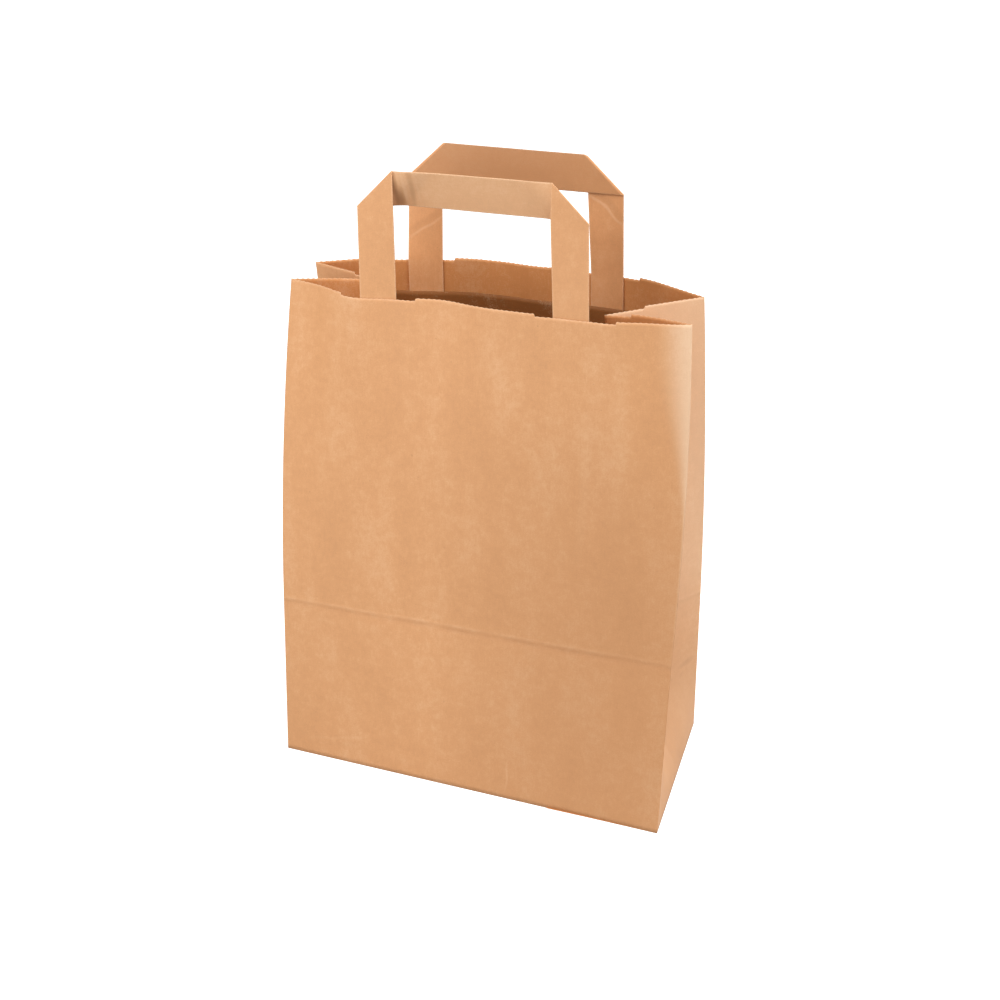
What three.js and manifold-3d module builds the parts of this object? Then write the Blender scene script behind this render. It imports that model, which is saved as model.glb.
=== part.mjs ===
// A brown paper carrier bag with two flat paper handles, opened out and standing on a table.
// Units are millimetres and +Z is up. The origin is the middle of the bottom, on the table.
// The front panel faces -Y, the rear panel faces +Y, and the two side gussets face -X and +X.
import * as THREE from 'three';
import Module from 'manifold-3d';
import { mergeVertices } from 'three/addons/utils/BufferGeometryUtils.js';

const wasm = await Module();
wasm.setup();

// The folded sheet
const BAG_WIDTH = 220;
const BAG_DEPTH = 100;
const BAG_HEIGHT = 273;
const PAPER_THICKNESS = 0.13;
const BOTTOM_OVERLAP = 24;
const GLUE_LAP_WIDTH = 20;
const GLUE_LAP_INSET = 6;

// The crease that runs right round the bag, pressed in when the bag was packed flat
const CREASE_HEIGHT = 96;

// Where the four upright folds run: how far each has come in from its own corner of the
// bottom rectangle, in x and in y, at the bottom, at the crease and at the mouth. The bow is
// 0 for a straight run from the crease to the mouth, and more where most of it comes near the top.
const FRONT_LEFT_FOLD = { bottom: [0, 0], crease: [1.6, 7.6], mouth: [5, 38.7], bow: 0.5 };
const FRONT_RIGHT_FOLD = { bottom: [0, 0], crease: [0.6, 19], mouth: [4.5, 39.2], bow: -0.6 };
const REAR_RIGHT_FOLD = { bottom: [3, 2.5], crease: [2.5, 9], mouth: [6.5, 21.5], bow: 0.8 };
const REAR_LEFT_FOLD = { bottom: [1, 0], crease: [2, 7.5], mouth: [5, 33], bow: 0 };

// How far the panels bow outwards at the mouth, and the two swellings beside the front handle
const FRONT_BULGE = 9.5;
const REAR_BULGE = 26.5;
const SWELLING_WIDTH = 17;
const LEFT_SWELLING = { x: -70, size: 6.5 };
const RIGHT_SWELLING = { x: 76, size: 2.5 };
const SWELLING_FADE = 0.25;
const BULGE_GROWTH = 1.2;

// The side gussets: the width of each one's front half, and how far that half bows at the mouth
const LEFT_GUSSET_FRONT = 50;
const RIGHT_GUSSET_FRONT = 45;
const LEFT_GUSSET_BOW = 1;
const RIGHT_GUSSET_BOW = 3.5;

// The steps cut into the top edge: where they start and end on each panel, in x at the mouth,
// and how far from the inner fold they end on each half of a gusset
const NOTCH_DEPTH = 1.8;
const FRONT_NOTCHES = [[-71.5, -32.5], [31, 71.5]];
const REAR_NOTCHES = [[-75, -36], [27, 66]];
const NOTCH_SLOPE = 0.4;
const GUSSET_NOTCH_FRONT = 13;
const GUSSET_NOTCH_REAR = 22;

// The handles, each one strap folded over at 45 degrees at two corners. Each one's rise above the
// mouth, how far each leg stands in from the panel there, how far each one's glued end stands to
// the right of its fold, its lean to the rear in degrees, and how far the lower edge of its grip
// has swung inwards.
const STRAP_WIDTH = 18.8;
const STRAP_THICKNESS = 0.5;
const FOLD_PRESSED = 0.05;
const HANDLE_WIDTH = 117;
const HANDLE_GLUED_LENGTH = 52;
const HANDLE_STRAIGHTENS_OVER = 34;
const FRONT_HANDLE = {
  x: -2.4, rise: 63.2, standsIn: [0, 2.9], rootShift: [0, 2.3], lean: 1.7, gripSwing: 5,
};
const REAR_HANDLE = {
  x: -2, rise: 62, standsIn: [0, 6.2], rootShift: [0, 0], lean: 5, gripSwing: 0.5,
};

// The patches that hold the handle ends
const PATCH_WIDTH = 152;
const PATCH_HEIGHT = 40;
const PATCH_BELOW_EDGE = 18;
const PATCH_THICKNESS = 0.13;
const PATCH_RAMP = 3;
const GLUE_GAP = 0.3;

// How finely the curved sheets are divided
const PANEL_STEPS = 14;
const GUSSET_STEPS = 4;
const WALL_ROWS = 4;
const STRAP_COLUMNS = 3;
const FREE_ROWS = 4;

// Points closer than this are one point, and the sharpest mitre is cut off at this share
const SAME_POINT = 1e-4;
const MITRE_LIMIT = 0.3;

const KRAFT = { color: 0xdba877, roughness: 0.85, metalness: 0 };

const smooth = (from, to, value) => THREE.MathUtils.smoothstep(value, from, to);
const mix = THREE.MathUtils.lerp;

// Share of the way from the crease, 0, up to the mouth, 1
const riseShare = (z) => Math.max(0, (z - CREASE_HEIGHT) / (BAG_HEIGHT - CREASE_HEIGHT));

// One upright fold, as a function that gives its place at any height
function foldLine(sideX, sideY, insets) {
  const place = ([inX, inY]) =>
    new THREE.Vector2(sideX * (BAG_WIDTH / 2 - inX), sideY * (BAG_DEPTH / 2 - inY));
  const bottom = place(insets.bottom);
  const crease = place(insets.crease);
  const mouth = place(insets.mouth);
  return (z) => {
    if (z <= CREASE_HEIGHT) return bottom.clone().lerp(crease, z / CREASE_HEIGHT);
    const t = riseShare(z);
    return crease.clone().lerp(mouth, t * (1 - insets.bow) + insets.bow * t * t);
  };
}

const folds = {
  frontLeft: foldLine(-1, -1, FRONT_LEFT_FOLD),
  frontRight: foldLine(1, -1, FRONT_RIGHT_FOLD),
  rearRight: foldLine(1, 1, REAR_RIGHT_FOLD),
  rearLeft: foldLine(-1, 1, REAR_LEFT_FOLD),
};

const swelling = (x, { x: centre, size }) => size * Math.exp(-(((x - centre) / SWELLING_WIDTH) ** 2));
const taper = (x) => 1 - (2 * x / BAG_WIDTH) ** 2;

// The front and the rear panel. x is measured along the sheet, from its own centre line. The
// bulge is how far out the sheet stands at the mouth.
const panels = {
  front: {
    outward: -1,
    left: folds.frontLeft,
    right: folds.frontRight,
    notches: FRONT_NOTCHES,
    bulge: (x) => taper(x) * FRONT_BULGE
      + smooth(0, SWELLING_FADE, taper(x)) * (swelling(x, LEFT_SWELLING) + swelling(x, RIGHT_SWELLING)),
  },
  rear: {
    outward: 1,
    left: folds.rearLeft,
    right: folds.rearRight,
    notches: REAR_NOTCHES,
    bulge: (x) => taper(x) * REAR_BULGE,
  },
};

// A point on a panel's outer face, moved inwards by an offset
function panelPoint(panel, x, z, offset = 0) {
  const on = (s) => {
    const share = s / BAG_WIDTH + 0.5;
    const point = panel.left(z).lerp(panel.right(z), share);
    point.y += panel.outward * panel.bulge(s) * riseShare(z) ** BULGE_GROWTH;
    return point;
  };
  const point = on(x);
  if (offset === 0) return new THREE.Vector3(point.x, point.y, z);
  const along = on(x + 0.5).sub(on(x - 0.5)).normalize();
  const inward = new THREE.Vector2(-along.y, along.x).multiplyScalar(-panel.outward);
  point.addScaledVector(inward, offset);
  return new THREE.Vector3(point.x, point.y, z);
}

// The place on the sheet, measured from its centre line, that stands at x at the mouth
function sheetPlace(panel, x) {
  const left = panel.left(BAG_HEIGHT).x;
  const right = panel.right(BAG_HEIGHT).x;
  return BAG_WIDTH * ((x - left) / (right - left) - 0.5);
}

// The middle of a leg's glued end, as a place on the sheet
function legPlace(panel, values, side) {
  const straight = values.x + side * (HANDLE_WIDTH - STRAP_WIDTH) / 2;
  return sheetPlace(panel, straight + values.rootShift[side < 0 ? 0 : 1]);
}

// The heights of the rows of points: the wall, the straps and the patches share them, so that
// sheets that lie against each other have the same facets
const patchTop = BAG_HEIGHT - PATCH_BELOW_EDGE;
const patchBottom = patchTop - PATCH_HEIGHT;
const strapEnd = BAG_HEIGHT - HANDLE_GLUED_LENGTH;
const gluedHeights = [patchBottom, strapEnd, mix(strapEnd, patchTop, 0.5), patchTop, BAG_HEIGHT]
  .sort((a, b) => a - b);

// The places across a panel that its handle and patch share with it
function handlePlaces(panel, values) {
  const legs = [-1, 1].map((side) => {
    const across = [];
    for (let i = 0; i <= STRAP_COLUMNS; i += 1) {
      across.push(legPlace(panel, values, side) + STRAP_WIDTH * (i / STRAP_COLUMNS - 0.5));
    }
    return across;
  });
  const ends = [-1, 1].map((side) => sheetPlace(panel, values.x + side * PATCH_WIDTH / 2));
  const ramps = legs.flatMap((leg) => [
    { low: leg[0] - GLUE_GAP - PATCH_RAMP, high: leg[0] - GLUE_GAP },
    { low: leg[STRAP_COLUMNS] + GLUE_GAP + PATCH_RAMP, high: leg[STRAP_COLUMNS] + GLUE_GAP },
  ]);
  return { legs, ends, ramps };
}

// The side gussets. Each is a front half and a rear half that fold inwards along an upright fold.
const gussets = {
  right: {
    side: 1,
    front: folds.frontRight,
    rear: folds.rearRight,
    width: RIGHT_GUSSET_FRONT,
    bow: RIGHT_GUSSET_BOW,
  },
  left: {
    side: -1,
    front: folds.frontLeft,
    rear: folds.rearLeft,
    width: LEFT_GUSSET_FRONT,
    bow: LEFT_GUSSET_BOW,
  },
};

// The inner fold of a gusset: the paper keeps its width, so it lies where two circles meet. A half
// that bows reaches less far, by the usual allowance for a shallow arc.
function gussetFold(gusset, z) {
  const front = gusset.front(z);
  const rear = gusset.rear(z);
  const bow = gusset.bow * riseShare(z);
  const frontReach = gusset.width - (8 * bow * bow) / (3 * gusset.width);
  const rearReach = BAG_DEPTH - gusset.width;
  const apart = front.distanceTo(rear);
  const along = rear.clone().sub(front).divideScalar(apart);
  const inward = new THREE.Vector2(-gusset.side * along.y, gusset.side * along.x);
  const foot = (frontReach ** 2 - rearReach ** 2 + apart ** 2) / (2 * apart);
  const depth = Math.sqrt(Math.max(0, frontReach ** 2 - foot ** 2));
  return { point: front.addScaledVector(along, foot).addScaledVector(inward, depth), depth };
}

// A point on a gusset half: share runs from the inner fold, 0, to the panel's fold, 1
function gussetPoint(gusset, half, share, z) {
  const fold = gussetFold(gusset, z).point;
  const corner = gusset[half](z);
  const across = corner.clone().sub(fold).normalize();
  const backward = new THREE.Vector2(-gusset.side * across.y, gusset.side * across.x);
  const bow = half === 'front' ? gusset.bow * riseShare(z) * 4 * share * (1 - share) : 0;
  return fold.lerp(corner, share).addScaledVector(backward, bow);
}

// The 45 degree folds of the block bottom meet on the gusset's inner fold at this height
const cornerFoldDepth = gussetFold(gussets.left, BAG_DEPTH / 2).depth;
const cornerFoldHeight = Math.sqrt((BAG_DEPTH / 2) ** 2 - cornerFoldDepth ** 2);

// The places along a panel: even steps, the places that its handle and patch share with it, and
// a pair of places at each step in the top edge and at each edge of the glue lap
function panelPlaces(panel, values, lapEdges) {
  const notches = panel.notches.map((notch) => notch.map((x) => sheetPlace(panel, x)));
  const { legs, ends, ramps } = handlePlaces(panel, values);
  const pair = (width) => (x) => [x - width / 2, x + width / 2];
  const steps = [
    ...notches.flat().flatMap(pair(NOTCH_SLOPE)),
    ...lapEdges.flatMap(pair(PAPER_THICKNESS)),
  ];
  const shared = [...legs.flat(), ...ends, ...ramps.flatMap(({ low, high }) => [low, high])];
  const clearOf = (places, gap) => (x) => places.every((place) => Math.abs(place - x) > gap);
  const even = [];
  for (let i = 0; i <= PANEL_STEPS; i += 1) even.push(BAG_WIDTH * (i / PANEL_STEPS - 0.5));
  const places = [...steps, ...shared, ...even.filter(clearOf([...steps, ...shared], PATCH_RAMP))];
  const inNotch = (x) => notches.some(([low, high]) => x > low && x < high);
  return places.sort((a, b) => a - b).map((x) => ({ x, drop: inNotch(x) ? NOTCH_DEPTH : 0 }));
}

// Places along a gusset half, from the panel's fold inwards, with the step in its top edge
function gussetPlaces(width, notch) {
  const edge = notch / width;
  const slope = NOTCH_SLOPE / width;
  const even = [];
  for (let i = 1; i < GUSSET_STEPS; i += 1) even.push(i / GUSSET_STEPS);
  const clear = (share) => Math.abs(share - edge) > 1 / (2 * GUSSET_STEPS);
  return [...even.filter(clear), edge + slope / 2, edge - slope / 2].sort((a, b) => b - a)
    .map((share) => ({ share, drop: share < edge ? NOTCH_DEPTH : 0 }));
}

// The columns of the wall, going once round the bag. Each knows its place at any height,
// and the corner of the bottom that it runs down to.
function wallColumns() {
  const columns = [];
  const lap = [-BAG_WIDTH / 2 + GLUE_LAP_INSET, -BAG_WIDTH / 2 + GLUE_LAP_INSET + GLUE_LAP_WIDTH];
  const addPanel = (panel, places) => places.forEach(({ x, drop }) => columns.push({
    at: (z) => { const p = panelPoint(panel, x, z); return new THREE.Vector2(p.x, p.y); },
    bottom: (() => { const p = panelPoint(panel, x, 0); return new THREE.Vector2(p.x, p.y); })(),
    drop,
    extra: panel === panels.rear && x > lap[0] && x < lap[1] ? PAPER_THICKNESS : 0,
  }));
  const addHalf = (gusset, half, places) => places.forEach(({ share, drop }) => columns.push({
    at: (z) => gussetPoint(gusset, half, share, z), bottom: gusset[half](0), drop, extra: 0,
  }));
  const addFold = (gusset, towards) => columns.push({
    at: (z) => gussetFold(gusset, z).point, bottom: gusset[towards](0), drop: NOTCH_DEPTH, extra: 0,
  });
  const frontPlaces = (gusset) => gussetPlaces(gusset.width, GUSSET_NOTCH_FRONT);
  const rearPlaces = (gusset) => gussetPlaces(BAG_DEPTH - gusset.width, GUSSET_NOTCH_REAR);

  addPanel(panels.front, panelPlaces(panels.front, FRONT_HANDLE, []));
  addHalf(gussets.right, 'front', frontPlaces(gussets.right));
  addFold(gussets.right, 'front');
  addHalf(gussets.right, 'rear', rearPlaces(gussets.right).reverse());
  addPanel(panels.rear, panelPlaces(panels.rear, REAR_HANDLE, lap).reverse());
  addHalf(gussets.left, 'rear', rearPlaces(gussets.left));
  addFold(gussets.left, 'rear');
  addHalf(gussets.left, 'front', frontPlaces(gussets.left).reverse());
  return columns;
}

// Moves the points of a closed outline inwards, along the mean of the sides that meet there
function moveInwards(points, distances) {
  const count = points.length;
  const other = (i, step) => {
    let j = (i + step + count) % count;
    while (points[j].distanceTo(points[i]) < SAME_POINT) j = (j + step + count) % count;
    return points[j];
  };
  return points.map((point, i) => {
    const before = point.clone().sub(other(i, -1)).normalize();
    const after = other(i, 1).clone().sub(point).normalize();
    const normalBefore = new THREE.Vector2(-before.y, before.x);
    const normalAfter = new THREE.Vector2(-after.y, after.x);
    const mean = normalBefore.clone().add(normalAfter).normalize();
    const stretch = 1 / Math.max(MITRE_LIMIT, mean.dot(normalBefore));
    return point.clone().addScaledVector(mean, distances[i] * stretch);
  });
}

// A closed solid between two grids of points, an outer face and an inner one. Grids are rows
// of points. In a looped grid the last column joins the first.
function solidBetween(outer, inner, looped = false) {
  const positions = [];
  const triangle = (a, b, c) => {
    const sides = [a.distanceTo(b), b.distanceTo(c), c.distanceTo(a)];
    if (Math.min(...sides) < SAME_POINT) return;
    positions.push(a.x, a.y, a.z, b.x, b.y, b.z, c.x, c.y, c.z);
  };
  const quad = (a, b, c, d) => { triangle(a, b, d); triangle(b, c, d); };
  const rows = outer.length;
  const columns = outer[0].length;
  const last = looped ? columns : columns - 1;
  for (let j = 0; j < rows - 1; j += 1) {
    for (let i = 0; i < last; i += 1) {
      const next = (i + 1) % columns;
      quad(outer[j][i], outer[j][next], outer[j + 1][next], outer[j + 1][i]);
      triangle(inner[j][next], inner[j][i], inner[j + 1][i]);
      triangle(inner[j][next], inner[j + 1][i], inner[j + 1][next]);
    }
  }
  for (let i = 0; i < last; i += 1) {
    const next = (i + 1) % columns;
    quad(outer[0][next], outer[0][i], inner[0][i], inner[0][next]);
    quad(outer[rows - 1][i], outer[rows - 1][next], inner[rows - 1][next], inner[rows - 1][i]);
  }
  if (!looped) {
    const end = columns - 1;
    for (let j = 0; j < rows - 1; j += 1) {
      quad(outer[j][end], inner[j][end], inner[j + 1][end], outer[j + 1][end]);
      quad(inner[j][0], outer[j][0], outer[j + 1][0], inner[j + 1][0]);
    }
  }
  const geometry = new THREE.BufferGeometry();
  geometry.setAttribute('position', new THREE.Float32BufferAttribute(positions, 3));
  return geometry;
}

function toManifold(geometry) {
  const bare = geometry.clone();
  bare.deleteAttribute('normal');
  bare.deleteAttribute('uv');
  const merged = mergeVertices(bare, SAME_POINT);
  return new wasm.Manifold(new wasm.Mesh({
    numProp: 3,
    vertProperties: new Float32Array(merged.attributes.position.array),
    triVerts: new Uint32Array(merged.index.array),
  }));
}

function toGeometry(manifold) {
  const { vertProperties, triVerts } = manifold.getMesh();
  const geometry = new THREE.BufferGeometry();
  geometry.setAttribute('position', new THREE.BufferAttribute(vertProperties, 3));
  geometry.setIndex(new THREE.BufferAttribute(triVerts, 1));
  return geometry;
}

// One flap of the bottom, lying flat between two heights
function flap(corners, low, high) {
  const shape = new THREE.Shape(corners.map(([x, y]) => new THREE.Vector2(x, y)));
  const geometry = new THREE.ExtrudeGeometry(shape, { depth: high - low, bevelEnabled: false });
  return toManifold(geometry.translate(0, 0, low));
}

// The block bottom: the gusset ends fold in first, then the front flap, and the rear flap is
// glued over it. Each flap is one sheet thick, and the rear flap's underside is the table.
function bottomFlaps() {
  const T = PAPER_THICKNESS;
  const reach = (BAG_DEPTH + BOTTOM_OVERLAP) / 2;
  const corner = (fold) => {
    const { x, y } = fold(0);
    return [x - Math.sign(x) * T / 2, y - Math.sign(y) * T / 2];
  };
  const [fl, fr, rr, rl] =
    [folds.frontLeft, folds.frontRight, folds.rearRight, folds.rearLeft].map(corner);
  const front = [fl, fr, [fr[0] - reach, fr[1] + reach], [fl[0] + reach, fl[1] + reach]];
  const rear = [rl, [rl[0] + reach, rl[1] - reach], [rr[0] - reach, rr[1] - reach], rr];
  const rearClear = [rl, [rl[0] + BAG_DEPTH - reach, rl[1] - BAG_DEPTH + reach],
    [rr[0] - BAG_DEPTH + reach, rr[1] - BAG_DEPTH + reach], rr];
  const right = [fr, rr, [rr[0] - reach, rr[1]], [fr[0] - reach, fr[1]]];
  const left = [fl, [fl[0] + reach, fl[1]], [rl[0] + reach, rl[1]], rl];
  return [
    flap(front, T, 2 * T), flap(rear, 0, T), flap(rearClear, 0, 2 * T),
    flap(right, 2 * T, 3 * T), flap(left, 2 * T, 3 * T),
  ];
}

function bagBody() {
  const columns = wallColumns();
  const heights = [0, cornerFoldHeight, CREASE_HEIGHT];
  for (let i = 1; i < WALL_ROWS; i += 1) {
    heights.push(mix(CREASE_HEIGHT, gluedHeights[0], i / WALL_ROWS));
  }
  heights.push(...gluedHeights);
  const outer = [];
  const inner = [];
  heights.forEach((z) => {
    const height = (i) => (z === BAG_HEIGHT ? z - columns[i].drop : z);
    const line = columns.map((column, i) => (z === 0 ? column.bottom : column.at(height(i))));
    const raise = (points) => points.map((p, i) => new THREE.Vector3(p.x, p.y, height(i)));
    outer.push(raise(moveInwards(line, columns.map((column) => -column.extra))));
    inner.push(raise(moveInwards(line, columns.map(() => PAPER_THICKNESS))));
  });
  let body = toManifold(solidBetween(outer, inner, true));
  bottomFlaps().forEach((part) => { body = body.add(part); });
  return toGeometry(body);
}

// Where a handle's strap runs. The glued length follows the panel, and above the mouth the
// strap straightens into the handle's own plane. Across is measured from the handle's middle.
function handleFrame(panel, values) {
  const clear = PAPER_THICKNESS + GLUE_GAP;
  const roots = [-1, 1].map((side, i) => {
    const x = values.x + side * (HANDLE_WIDTH - STRAP_WIDTH) / 2;
    const root = panelPoint(panel, sheetPlace(panel, x), BAG_HEIGHT, clear);
    root.y -= panel.outward * values.standsIn[i];
    return root;
  });
  const along = roots[1].clone().sub(roots[0]).setZ(0).normalize();
  const lean = THREE.MathUtils.degToRad(values.lean);
  const up = new THREE.Vector3(0, Math.sin(lean), Math.cos(lean));
  const inward = new THREE.Vector3().crossVectors(along, up).normalize();
  inward.multiplyScalar(panel.outward);
  const middle = roots[0].clone().lerp(roots[1], 0.5);
  const onPanel = (across, rise, depth) => {
    const side = Math.sign(across);
    const centre = side * (HANDLE_WIDTH - STRAP_WIDTH) / 2;
    const x = legPlace(panel, values, side) + across - centre;
    const at = (z) => panelPoint(panel, x, z, clear + depth);
    if (rise <= 0) return at(BAG_HEIGHT + rise);
    const high = at(BAG_HEIGHT);
    return high.clone().addScaledVector(high.clone().sub(at(BAG_HEIGHT - 1)), rise);
  };
  return (across, rise, depth) => {
    const free = middle.clone().addScaledVector(along, across)
      .addScaledVector(up, rise).addScaledVector(inward, depth);
    const share = smooth(0, HANDLE_STRAIGHTENS_OVER, rise);
    return share === 1 ? free : onPanel(across, rise, depth).lerp(free, share);
  };
}

// One leg of a strap, cut at 45 degrees where it folds over into the grip
function handleLeg(place, values, side) {
  const centre = side * (HANDLE_WIDTH - STRAP_WIDTH) / 2;
  const rises = gluedHeights.filter((z) => z >= strapEnd).map((z) => () => z - BAG_HEIGHT);
  for (let j = 1; j <= FREE_ROWS; j += 1) {
    rises.push(() => HANDLE_STRAIGHTENS_OVER * j / FREE_ROWS);
  }
  rises.push((across) => values.rise - STRAP_WIDTH / 2 - side * across);
  const row = (rise, depth) => {
    const points = [];
    for (let i = 0; i <= STRAP_COLUMNS; i += 1) {
      const across = STRAP_WIDTH * (i / STRAP_COLUMNS - 0.5);
      points.push(place(centre + across, rise(across), depth));
    }
    return points;
  };
  return [0, STRAP_THICKNESS].map((depth) => rises.map((rise) => row(rise, depth)));
}

// The grip of a strap, folded over so that it lies one layer further in than the legs. Its
// lower edge swings clear of them between the two corners.
function handleGrip(place, values) {
  const half = HANDLE_WIDTH / 2;
  const low = values.rise - STRAP_WIDTH;
  const lower = [[-half, low, 0], [-half + STRAP_WIDTH, low, values.gripSwing],
    [half - STRAP_WIDTH, low, values.gripSwing], [half, low, 0]];
  const upper = [[-half + STRAP_WIDTH, values.rise, 0], [half - STRAP_WIDTH, values.rise, 0]];
  upper.unshift(upper[0]);
  upper.push(upper[2]);
  const row = (edge, depth) => edge.map(([across, rise, swing]) => place(across, rise, depth + swing));
  return [STRAP_THICKNESS - FOLD_PRESSED, 2 * STRAP_THICKNESS - FOLD_PRESSED].map((depth) =>
    [row(lower, depth), row(upper, depth)]);
}

function handle(panel, values) {
  const place = handleFrame(panel, values);
  const legs = [-1, 1].map((side) => handleLeg(place, values, side));
  const solids = [...legs, handleGrip(place, values)].map(([out, inside]) => toManifold(
    panel.outward < 0 ? solidBetween(out, inside) : solidBetween(inside, out)));
  return toGeometry(solids[0].add(solids[1]).add(solids[2]));
}

// A patch is glued flat to the panel and stands off it where it crosses the two legs
function handlePatch(panel, values) {
  const { legs, ends, ramps } = handlePlaces(panel, values);
  const standOff = STRAP_THICKNESS + GLUE_GAP;
  const onLeg = (x) => ({ x, lift: standOff });
  const places = [
    ...ends.map((x) => ({ x, lift: 0 })),
    ...ramps.flatMap(({ low, high }) => [{ x: low, lift: 0 }, onLeg(high)]),
    ...legs.flatMap((leg) => leg.map(onLeg)),
  ];
  for (let i = 0; i <= PANEL_STEPS; i += 1) {
    const x = BAG_WIDTH * (i / PANEL_STEPS - 0.5);
    const inside = x > ends[0] && x < ends[1];
    if (inside && places.every((place) => Math.abs(place.x - x) > PATCH_RAMP)) {
      const flat = legs.every((leg) => x < leg[0] || x > leg[STRAP_COLUMNS]);
      places.push({ x, lift: flat ? 0 : standOff });
    }
  }
  places.sort((a, b) => a.x - b.x);
  const rows = gluedHeights.filter((z) => z >= patchBottom && z <= patchTop);
  const glued = PAPER_THICKNESS + GLUE_GAP;
  const [out, inside] = [0, PATCH_THICKNESS].map((depth) => rows.map((z) =>
    places.map(({ x, lift }) => panelPoint(panel, x, z, glued + lift + depth))));
  return panel.outward < 0 ? solidBetween(out, inside) : solidBetween(inside, out);
}

function named(name, geometry) {
  const mesh = new THREE.Mesh(geometry, new THREE.MeshStandardMaterial(KRAFT));
  mesh.name = name;
  return mesh;
}

const bag = new THREE.Group();
bag.add(named('bag_body', bagBody()));
bag.add(named('front_handle', handle(panels.front, FRONT_HANDLE)));
bag.add(named('rear_handle', handle(panels.rear, REAR_HANDLE)));
bag.add(named('front_handle_patch', handlePatch(panels.front, FRONT_HANDLE)));
bag.add(named('rear_handle_patch', handlePatch(panels.rear, REAR_HANDLE)));

export default bag;
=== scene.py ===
import math
import bmesh
import bpy
from mathutils import Matrix, Vector, noise


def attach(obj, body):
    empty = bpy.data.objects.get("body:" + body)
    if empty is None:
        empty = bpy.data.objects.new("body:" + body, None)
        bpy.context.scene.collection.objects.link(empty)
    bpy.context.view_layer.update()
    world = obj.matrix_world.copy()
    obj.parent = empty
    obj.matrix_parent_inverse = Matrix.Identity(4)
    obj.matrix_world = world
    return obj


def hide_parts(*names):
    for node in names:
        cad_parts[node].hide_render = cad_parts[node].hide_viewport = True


# A brown kraft paper carrier bag with two flat handles, standing open on a white floor.
# Shapes are worked out in millimetres and stored in metres. The front panel faces -Y.
MM = 0.001

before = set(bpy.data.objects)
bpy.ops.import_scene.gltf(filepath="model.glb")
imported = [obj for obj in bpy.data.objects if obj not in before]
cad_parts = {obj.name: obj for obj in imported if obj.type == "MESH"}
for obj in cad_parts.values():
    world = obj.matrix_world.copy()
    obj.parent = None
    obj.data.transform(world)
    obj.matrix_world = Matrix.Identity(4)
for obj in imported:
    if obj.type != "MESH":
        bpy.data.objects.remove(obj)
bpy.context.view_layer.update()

# Camera
# It stands at the photograph's viewing angle, a little above the bag and to its right.
CAMERA_YAW = 20.367
CAMERA_PITCH = 27.504
CAMERA_ROLL = -0.717
CAMERA_DISTANCE = 891.7
CAMERA_AIM = (2.38, 138.2)
CAMERA_LENS = 54.9

yaw = math.radians(CAMERA_YAW)
pitch = math.radians(CAMERA_PITCH)
roll = math.radians(CAMERA_ROLL)
backward = Vector((math.sin(yaw) * math.cos(pitch), -math.cos(yaw) * math.cos(pitch), math.sin(pitch)))
level = Vector((math.cos(yaw), math.sin(yaw), 0))
upright = backward.cross(level)
right_hand = level * math.cos(roll) + upright * math.sin(roll)
upward = upright * math.cos(roll) - level * math.sin(roll)
camera_data = bpy.data.cameras.new("camera")
camera_data.lens = CAMERA_LENS
camera_data.sensor_width = 36
camera_data.clip_start = 0.05
camera_data.clip_end = 50
camera = bpy.data.objects.new("camera", camera_data)
camera.matrix_world = Matrix((
    (right_hand.x, upward.x, backward.x, 0),
    (right_hand.y, upward.y, backward.y, 0),
    (right_hand.z, upward.z, backward.z, 0),
    (0, 0, 0, 1),
))
camera.location = MM * (
    right_hand * CAMERA_AIM[0] + upward * CAMERA_AIM[1] + backward * CAMERA_DISTANCE)
bpy.context.scene.collection.objects.link(camera)
bpy.context.scene.camera = camera


# The bag
# One sheet of brown kraft paper, glued into a tube, with both sides folded in and the bottom
# closed by glued flaps. A toothed knife cut its stepped mouth, and a crease is pressed all
# round it, where the bag was folded flat.
BAG_WIDTH = 220.0
BAG_DEPTH = 100.0
BAG_HEIGHT = 273.0
PAPER = 0.13
FRONT_CREASE_LEFT = 97.0
FRONT_CREASE_RIGHT = 92.0
REAR_CREASE = 96.0
GUSSET_FLATTENS_BELOW = 46.0
FRONT_BULGE = 9.5
FRONT_SWELLINGS = ((6.5, -70, 17), (2.5, 76, 17))
FRONT_MOUTH_WAVES = ((1.0, 28, 16), (-3.6, -19, 15))
REAR_MOUTH_WAVES = ((1.5, 74, 18), (-5.0, 12, 26))
MOUTH_WAVES_GROW = (190, 270)
SHOULDER_REACH = (6.0, 32.0)
SHOULDER_REACH_GROWS = (160, 262)
SHOULDER_RISE = (0.6, 10.0)
SHOULDER_RISE_GROWS = (150, 258)
FRONT_RIDGES = ((0.3, 51, 4.5),)
FRONT_RIDGES_GROW = (110, 160)
FRONT_FURROWS = ((-0.25, 84, 6),)
FRONT_FURROWS_GROW = (110, 200)
BROAD_WAVE = 0.9
BROAD_WAVE_LENGTHS = (42, 95)
FINE_WAVE = 0.28
FINE_WAVE_LENGTHS = (17, 38)
CREASE_HILLS = ((0.12, 0.6, 1.1), (-0.08, -1.2, 1.1))
REAR_BULGE = 26.5
BULGE_GROWTH = 1.2
REAR_EDGE_RISE = 0.8
NOTCH_DEPTH = 1.3
NOTCH_SLOPE = 0.5
GUSSET_NOTCHES = {"front": 13.0, "rear": 22.0}
BOTTOM_OVERLAP = 24.0
TOOTH_PITCH = 2.75
TOOTH_DEPTH = 0.3
FOLD_STRIP = 0.4
COLUMN_GAP = 0.7
FAR = 0.05


def lerp(a, b, t):
    return a + (b - a) * t


def smooth(low, high, value):
    t = min(1.0, max(0.0, (value - low) / (high - low)))
    return t * t * (3 - 2 * t)


def hill(value, centre, width):
    return math.exp(-((value - centre) / width) ** 2)


# Each hill gives its height, its middle and its width.
def hills(s, wave):
    return sum(height * hill(s, middle, width) for height, middle, width in wave)


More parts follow.
